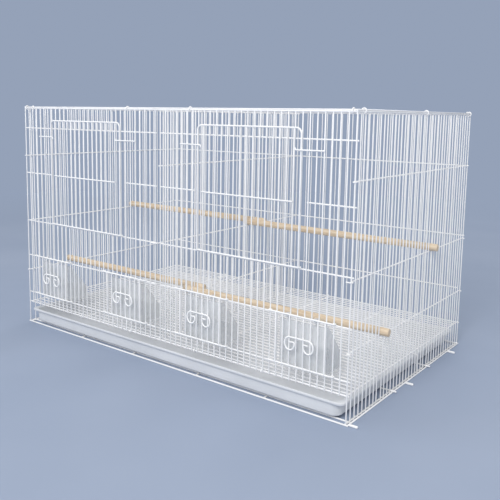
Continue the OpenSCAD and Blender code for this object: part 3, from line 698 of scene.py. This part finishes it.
def large_door(first, name, node, body):
    b = Builder()
    x0, x1 = bar_x(first), bar_x(first + DOOR_GAPS)
    r = DOOR_CORNER
    path = [(x0, DOOR_Y, DOOR_FOOT)]
    path += arc((x0 + r, DOOR_Y, DOOR_TOP - r), r, 180, 90, 10, "xz")
    path += arc((x1 - r, DOOR_Y, DOOR_TOP - r), r, 90, 0, 10, "xz")
    path += [(x1, DOOR_Y, DOOR_FOOT)]
    b.tube(path, DOOR_D / 2, FINE)
    eyed_wire(b, x0, x1, DOOR_FOOT)
    for x in (x0, x1):
        b.weld(x, DOOR_Y, DOOR_FOOT, "z", WELD_POST)
    for i in range(first + 1, first + DOOR_GAPS):
        b.wire_z(bar_x(i), DOOR_Y, DOOR_FOOT, DOOR_TOP, BAR_D)
        b.weld(bar_x(i), DOOR_Y, DOOR_FOOT + DOOR_WELD_IN, "z", WELD_DOOR)
        b.weld(bar_x(i), DOOR_Y, DOOR_TOP - DOOR_WELD_IN, "z", WELD_DOOR)
        b.weld(bar_x(i), DOOR_Y - flat(BAR_D), FRONT_RAIL_2, "y")
    rail_x0 = bar_x(first + 1) - BAR_D / 2
    rail_x1 = bar_x(first + DOOR_GAPS - 1) + BAR_D / 2
    b.wire_x(rail_x0, rail_x1, DOOR_RAIL_Y, FRONT_RAIL_2, RAIL_D)
    wire_piece(b, name, body, node)


def feeder_door(first, n):
    b = Builder()
    last = first + FEEDER_GAPS
    for z in (FEEDER_FOOT, FEEDER_HEAD):
        eyed_wire(b, bar_x(first - 1), bar_x(last + 1), z)
    for i in range(first, last + 1):
        side = i in (first, last)
        b.wire_z(bar_x(i), DOOR_Y, FEEDER_FOOT, FEEDER_HEAD, DOOR_D if side else BAR_D)
        for z in (FEEDER_FOOT + DOOR_WELD_IN, FEEDER_HEAD - DOOR_WELD_IN):
            b.weld(bar_x(i), DOOR_Y, z, "z", WELD_FEEDER if side else WELD_DOOR)
    wire_piece(b, f"feeder_door_{n}_wires", f"feeder_door_{n}", f"feeder_door_{n}")


def feeder_handle(first, n):
    b = Builder()
    mid = bar_x(first + FEEDER_GAPS / 2)
    curl_x = (HANDLE_W - CURL_W) / 2
    a, c = CURL_W / 2 - HANDLE_D / 2, HANDLE_H / 2 - HANDLE_D / 2
    turn = [math.radians(t) for t in range(90, -176, -10)]
    half = [(curl_x + a * math.cos(t), HANDLE_H / 2 + c * math.sin(t)) for t in turn]
    inner = curl_x - a
    half += [(inner + 0.1, HANDLE_H * 0.55), (inner + 0.75, HANDLE_H * 0.605), (inner + 2.0, HANDLE_H * 0.62)]
    half += [(inner + 4.5, HANDLE_H * 0.61), (curl_x - 0.4, HANDLE_H * 0.6)]
    full = [(-x, z) for x, z in reversed(half)] + half
    b.tube([(mid + x, HANDLE_Y, HANDLE_Z + z) for x, z in full], HANDLE_D / 2 * 0.93, FINE)
    for k in (1, 2):
        for s in (-1, 1):
            i = first + FEEDER_GAPS / 2 + s * (k - 0.5)
            b.weld(bar_x(i), HANDLE_Y + 1.0, HANDLE_Z + HANDLE_H - HANDLE_D / 2, "y", WELD_HANDLE)
    wire_piece(b, f"feeder_handle_{n}_wire", f"feeder_door_{n}", f"feeder_handle_{n}")


# ---- tray ----------------------------------------------------------------


def loop(l, w, r, steps=8):
    """Corner points of a rounded rectangle l by w, anticlockwise from the right end of the front side."""
    pts = []
    for cx, cy, a0 in ((1, -1, -90), (1, 1, 0), (-1, 1, 90), (-1, -1, 180)):
        for k in range(steps + 1):
            a = math.radians(a0 + 90 * k / steps)
            pts.append((cx * (l / 2 - r) + r * math.cos(a), cy * (w / 2 - r) + r * math.sin(a)))
    return pts


def lathe_rows(b, rows):
    """Skins between closed rows of points of equal count, closed at the first and last row."""
    n = len(rows[0])
    starts = []
    for row in rows:
        starts.append(len(b.verts))
        b.verts += [Vector(p) for p in row]
    for a, c in zip(starts, starts[1:]):
        b.bridge(c, a, n)
    b.faces.append(tuple(range(starts[0], starts[0] + n)))
    b.faces.append(tuple(reversed(range(starts[-1], starts[-1] + n))))


def tray():
    """A deep moulded pan with a flat rim turned down at its edge, narrower at the front."""
    b = Builder()
    mid = (TRAY_Y0 + TRAY_Y1) / 2
    full_w = TRAY_Y1 - TRAY_Y0
    pan_l, pan_w = TRAY_L - 2 * TRAY_RIM, full_w - TRAY_RIM - TRAY_FRONT_RIM
    pan_mid = mid + (TRAY_FRONT_RIM - TRAY_RIM) / 2
    floor, top, t = TRAY_FLOOR_Z, TRAY_RIM_Z, TRAY_WALL
    rows = []

    def wall(out, z):
        pts = loop(pan_l + 2 * out, pan_w + 2 * out, max(TRAY_CORNER + out, 3))
        rows.append([(x, y + pan_mid, z) for x, y in pts])

    def rim(share, out, z):
        """A row between the wall (share 0) and the rim's edge (share 1), drawn in from the edge by out."""
        inner = loop(pan_l, pan_w, TRAY_CORNER)
        outer = loop(TRAY_L - 2 * out, full_w - 2 * out, max(TRAY_RIM_CORNER - out, 2))
        row = []
        for (x0, y0), (x1, y1) in zip(inner, outer):
            row.append((x0 + (x1 - x0) * share, y0 + pan_mid + (y1 + mid - y0 - pan_mid) * share, z))
        rows.append(row)

    inside = [(-t - 5.0, floor + t), (-t - 2.2, floor + t + 0.35), (-t - 0.7, floor + t + 1.4)]
    inside += [(-t - 0.1, floor + t + 3.2), (-t, top - 3.0), (-t + 0.4, top - 1.5), (-t + 1.2, top - 0.6)]
    for out, z in inside:
        wall(out, z)
    for share, out, z in ((0.12, 0, top - 0.15), (0.5, 0, top - 0.02), (0.8, 0, top), (1, 0.9, top - 0.12)):
        rim(share, out, z)
    # the rim's edge turned down, as (distance in, distance below the top)
    edge = [(0.35, 0.5), (0.08, 1.1), (0, 2.0), (0.05, 3.6), (0.4, 4.3), (0.9, 4.5)]
    edge += [(1.5, 4.35), (1.85, 3.8), (2.0, 3.0), (2.3, 2.2)]
    for out, below in edge:
        rim(1, out, top - below)
    rim(0.25, 2.3, top - 2.0)
    outside = [(0.3, top - 2.2), (0.0, top - 3.2), (-0.4, 18.0), (-0.8, floor + 3.2), (-1.3, floor + 1.2)]
    outside += [(-2.6, floor + 0.2), (-5.0, floor)]
    for out, z in outside:
        wall(out, z)
    lathe_rows(b, rows)
    finish_piece(b.build("tray_moulding"), TRAY, "tray", "tray", "tray", sharp=50)


# ---- cups and perches ----------------------------------------------------


def prism(b, x0, x1, outline):
    """A closed prism along X from its outline of (y, z) points."""
    start = len(b.verts)
    m = len(outline)
    for x in (x0, x1):
        b.verts += [Vector((x, y, z)) for y, z in outline]
    for k in range(m):
        c = (k + 1) % m
        b.faces.append((start + k, start + c, start + m + c, start + m + k))
    b.faces.append(tuple(range(start, start + m))[::-1])
    b.faces.append(tuple(range(start + m, start + 2 * m)))


def seed_cup(first, n):
    b = Builder()
    mid = bar_x(first + FEEDER_GAPS / 2)
    t, half = CUP_WALL, CUP_W / 2
    front, back, low, top = CUP_Y, CUP_Y + CUP_DEPTH, CUP_Z, CUP_Z + CUP_H

    def side_outline(inset):
        """The cup's side seen along X, drawn in by inset, as (y, z) points from the front foot."""
        slope = (top - low - CUP_LOW) / (CUP_DEPTH - CUP_LIP)
        return [
            (front + inset, low + inset),
            (back - inset, low + inset),
            (back - inset, low + CUP_LOW + inset * slope),
            (front + max(CUP_LIP, inset), top),
            (front + inset, top),
        ]

    outer, inner = side_outline(0), side_outline(t)
    start = len(b.verts)
    sides = [(mid - half, outer), (mid + half, outer)]
    sides += [(mid - half + t, inner), (mid + half - t, inner)]
    for x, outline in sides:
        b.verts += [Vector((x, y, z)) for y, z in outline]
    lo, ro, li, ri = start, start + 5, start + 10, start + 15
    b.faces.append((lo + 4, lo + 3, lo + 2, lo + 1, lo))
    b.faces.append((ro, ro + 1, ro + 2, ro + 3, ro + 4))
    b.faces.append((li, li + 1, li + 2, li + 3, li + 4))
    b.faces.append((ri + 4, ri + 3, ri + 2, ri + 1, ri))
    for k in (0, 1):
        b.faces.append((lo + k, lo + k + 1, ro + k + 1, ro + k))
        b.faces.append((li + k + 1, li + k, ri + k, ri + k + 1))
    b.faces.append((lo + 4, lo, ro, ro + 4))
    b.faces.append((li, li + 4, ri + 4, ri))
    b.faces.append((lo + 2, li + 2, ri + 2, ro + 2))
    b.faces.append((lo + 4, ro + 4, ri + 4, li + 4))
    for out, inn, way in ((lo, li, 1), (ro, ri, -1)):
        for k in (2, 3):
            quad = (out + k, out + k + 1, inn + k + 1, inn + k)
            b.faces.append(quad if way == 1 else quad[::-1])
    for g in (-2, 2):
        x = bar_x(first + FEEDER_GAPS / 2 + g)
        prism(
            b, x - HOOK_W / 2, x + HOOK_W / 2,
            [(CUP_Y, top - 2), (CUP_Y, HOOK_Z), (LEG_Y, HOOK_Z), (LEG_Y, FRONT_RAIL_4 - HOOK_LEG),
             (LEG_Y - HOOK_T, FRONT_RAIL_4 - HOOK_LEG), (LEG_Y - HOOK_T, HOOK_Z + t),
             (CUP_Y + t, HOOK_Z + t), (CUP_Y + t, top - 2)],
        )
    obj = b.build(f"seed_cup_{n}_moulding")
    soften = obj.modifiers.new("edges", "BEVEL")
    soften.width = 0.0006
    soften.segments = 2
    soften.limit_method = "ANGLE"
    finish_piece(obj, CUP, f"seed_cup_{n}", "cup", f"seed_cup_{n}", sharp=40)


def perch(k, z, name):
    b = Builder()
    right = k in (1, 3)
    y0, y1 = bar_y(PERCH_GAP[k] + 0.5), bar_y(PERCH_GAP_RIGHT[k] + 0.5)
    way = Vector((RAIL_X, y1 - y0, -RIGHT_DROP if right else 0))
    start = Vector((0 if right else -RAIL_X, y0, z))
    first = start + way * ((PERCH_X[k] - start.x) / RAIL_X)
    along = way.normalized()
    across = unit(Vector((0, 0, 1)).cross(along))
    up = along.cross(across)
    r = PERCH_D / 2
    profile = [(0.0, r * 0.6), (0.0, r * 0.88), (0.4, r * 0.965), (1.0, r)]
    parts = 12
    rows = profile + [(PERCH_L * i / parts, r) for i in range(1, parts)]
    rows += [(PERCH_L - d, q) for d, q in reversed(profile)]
    starts = [b.ring(first + along * d, across, up, q, DOWEL) for d, q in rows]
    for a, c in zip(starts, starts[1:]):
        b.bridge(a, c, DOWEL)
    b.faces.append(tuple(reversed(range(starts[0], starts[0] + DOWEL))))
    b.faces.append(tuple(range(starts[-1], starts[-1] + DOWEL)))
    finish_piece(b.build(f"{name}_dowel"), WOOD, name, "perch", name, sharp=35)


front_panel()
back_panel()
side_panel(-1, "left_panel_wires", "left_panel")
side_panel(1, "right_panel_wires", "right_panel")
top_panel()
top_rings()
door_guides()
divider()
floor_grate()
base_frame()
tray_supports()
side_pegs()
large_door(DOOR_BARS[0], "large_door_left_wires", "large_door_left", "large_door_left")
large_door(DOOR_BARS[1], "large_door_right_wires", "large_door_right", "large_door_right")
for number, first_bar in enumerate(FEEDER_BARS, 1):
    feeder_door(first_bar, number)
    feeder_handle(first_bar, number)
    seed_cup(first_bar, number)
tray()
perch(0, UPPER_PERCH_Z, "perch_upper_left")
perch(1, UPPER_PERCH_Z, "perch_upper_right")
perch(2, LOWER_PERCH_Z, "perch_lower_left")
perch(3, LOWER_PERCH_Z, "perch_lower_right")

# ---- stage, lights and camera ---------------------------------------------


BACKDROP = (0.30, 0.36, 0.48, 1)
FLOOR_HALF = 30.0
FADE_FROM, FADE_TO = 0.9, 2.6
SKY_COLOUR, SKY_STRENGTH = (0.98, 0.985, 1.0, 1), 0.46
# name, place, target, size in metres, power in watts, colour
LAMPS = (
    ("key", (0.9, -2.8, 2.2), (0, 0, 0.2), 1.8, 82, (1.0, 0.985, 0.96)),
    ("fill", (-2.6, -1.6, 1.4), (0, 0, 0.2), 2.2, 22, (0.97, 0.98, 1.0)),
    ("side", (2.8, 0.2, 1.6), (0, 0, 0.2), 1.8, 14, (1, 1, 1)),
    ("back", (-0.6, 2.6, 2.4), (0, 0, 0.3), 1.8, 26, (1, 1, 1)),
)
# the photo's camera: turn in degrees, focal length and middle in pixels, place in millimetres
CAMERA_TURN = (-37.51, 7.47, 0.91)
FOCAL, MIDDLE_X, MIDDLE_Y = 658.5, 240.1, 201.9
PHOTO_SIDE, SENSOR = 500, 36.0
CAMERA_PLACE = Vector((807.4, -1044.5, 445.5))


def seen_by_eye(tree):
    """1 for rays that show the backdrop itself: from the camera, through clear plastic or in a gloss."""
    path = tree.nodes.new("ShaderNodeLightPath")
    last = path.outputs["Is Camera Ray"]
    for name in ("Is Transmission Ray", "Is Glossy Ray"):
        pick = tree.nodes.new("ShaderNodeMath")
        pick.operation = "MAXIMUM"
        tree.links.new(last, pick.inputs[0])
        tree.links.new(path.outputs[name], pick.inputs[1])
        last = pick.outputs["Value"]
    return last


def stage():
    half = FLOOR_HALF
    mesh = bpy.data.meshes.new("floor")
    corners = [(-half, -half, 0), (half, -half, 0), (half, half, 0), (-half, half, 0)]
    mesh.from_pydata(corners, [], [(0, 1, 2, 3)])
    floor = bpy.data.objects.new("floor", mesh)
    bpy.context.scene.collection.objects.link(floor)
    s = Shader("floor_paper")
    tone = s.noise(s.mapped(), 2.5, 3, 0.5)
    s.into(s.ramp(tone, [(0.3, (0.31, 0.37, 0.49)), (0.7, (0.34, 0.40, 0.52))]), "Base Color")
    s.set(Roughness=0.95, Specular_IOR_Level=0.1)
    # far from the cage the paper fades into the backdrop, so that no edge is seen
    far = s.node("ShaderNodeVectorMath", operation="LENGTH")
    s.link(s.coord.outputs["Object"], far.inputs[0])
    fade = s.node("ShaderNodeMapRange")
    fade.interpolation_type = "SMOOTHSTEP"
    fade.inputs["From Min"].default_value = FADE_FROM
    fade.inputs["From Max"].default_value = FADE_TO
    s.link(far.outputs["Value"], fade.inputs["Value"])
    both = s.node("ShaderNodeMath", operation="MULTIPLY")
    s.link(fade.outputs["Result"], both.inputs[0])
    s.link(seen_by_eye(s.tree), both.inputs[1])
    glow = s.node("ShaderNodeEmission")
    glow.inputs["Color"].default_value = BACKDROP
    glow.inputs["Strength"].default_value = 1.0
    mix = s.node("ShaderNodeMixShader")
    s.link(both.outputs["Value"], mix.inputs[0])
    s.link(s.bsdf.outputs["BSDF"], mix.inputs[1])
    s.link(glow.outputs["Emission"], mix.inputs[2])
    s.link(mix.outputs["Shader"], s.tree.nodes["Material Output"].inputs["Surface"])
    floor.data.materials.append(s.mat)

    world = bpy.data.worlds.new("studio")
    bpy.context.scene.world = world
    world.use_nodes = True
    tree = world.node_tree
    tree.nodes.clear()
    out = tree.nodes.new("ShaderNodeOutputWorld")
    seen = tree.nodes.new("ShaderNodeBackground")
    seen.inputs["Color"].default_value = BACKDROP
    seen.inputs["Strength"].default_value = 1.0
    light = tree.nodes.new("ShaderNodeBackground")
    light.inputs["Color"].default_value = SKY_COLOUR
    light.inputs["Strength"].default_value = SKY_STRENGTH
    mix = tree.nodes.new("ShaderNodeMixShader")
    tree.links.new(seen_by_eye(tree), mix.inputs["Fac"])
    tree.links.new(light.outputs["Background"], mix.inputs[1])
    tree.links.new(seen.outputs["Background"], mix.inputs[2])
    tree.links.new(mix.outputs["Shader"], out.inputs["Surface"])


def area(name, place, target, size, power, colour):
    data = bpy.data.lights.new(name, "AREA")
    data.shape = "DISK"
    data.size = size
    data.energy = power
    data.color = colour
    obj = bpy.data.objects.new(name, data)
    obj.location = place
    obj.rotation_mode = "QUATERNION"
    obj.rotation_quaternion = (Vector(target) - Vector(place)).to_track_quat("-Z", "Y")
    bpy.context.scene.collection.objects.link(obj)


def camera():
    yaw, pitch, roll = (math.radians(a) for a in CAMERA_TURN)
    ahead = Vector((math.sin(yaw) * math.cos(pitch), math.cos(yaw) * math.cos(pitch), -math.sin(pitch)))
    level = Vector((math.cos(yaw), -math.sin(yaw), 0))
    up = level.cross(ahead)
    right = level * math.cos(roll) + up * math.sin(roll)
    above = up * math.cos(roll) - level * math.sin(roll)
    data = bpy.data.cameras.new("photo_view")
    data.sensor_width = SENSOR
    data.lens = FOCAL / PHOTO_SIDE * SENSOR
    data.shift_x = (PHOTO_SIDE / 2 - MIDDLE_X) / PHOTO_SIDE
    data.shift_y = (MIDDLE_Y - PHOTO_SIDE / 2) / PHOTO_SIDE
    data.clip_start, data.clip_end = 0.05, 100
    obj = bpy.data.objects.new("photo_view", data)
    place = (CAMERA_PLACE + SHIFT) * MM
    turn = Matrix((right, above, -ahead)).transposed().to_4x4()
    obj.matrix_world = Matrix.Translation(place) @ turn
    bpy.context.scene.collection.objects.link(obj)
    bpy.context.scene.camera = obj


stage()
for lamp in LAMPS:
    area(*lamp)
camera()
bpy.context.scene.view_settings.view_transform = "Standard"
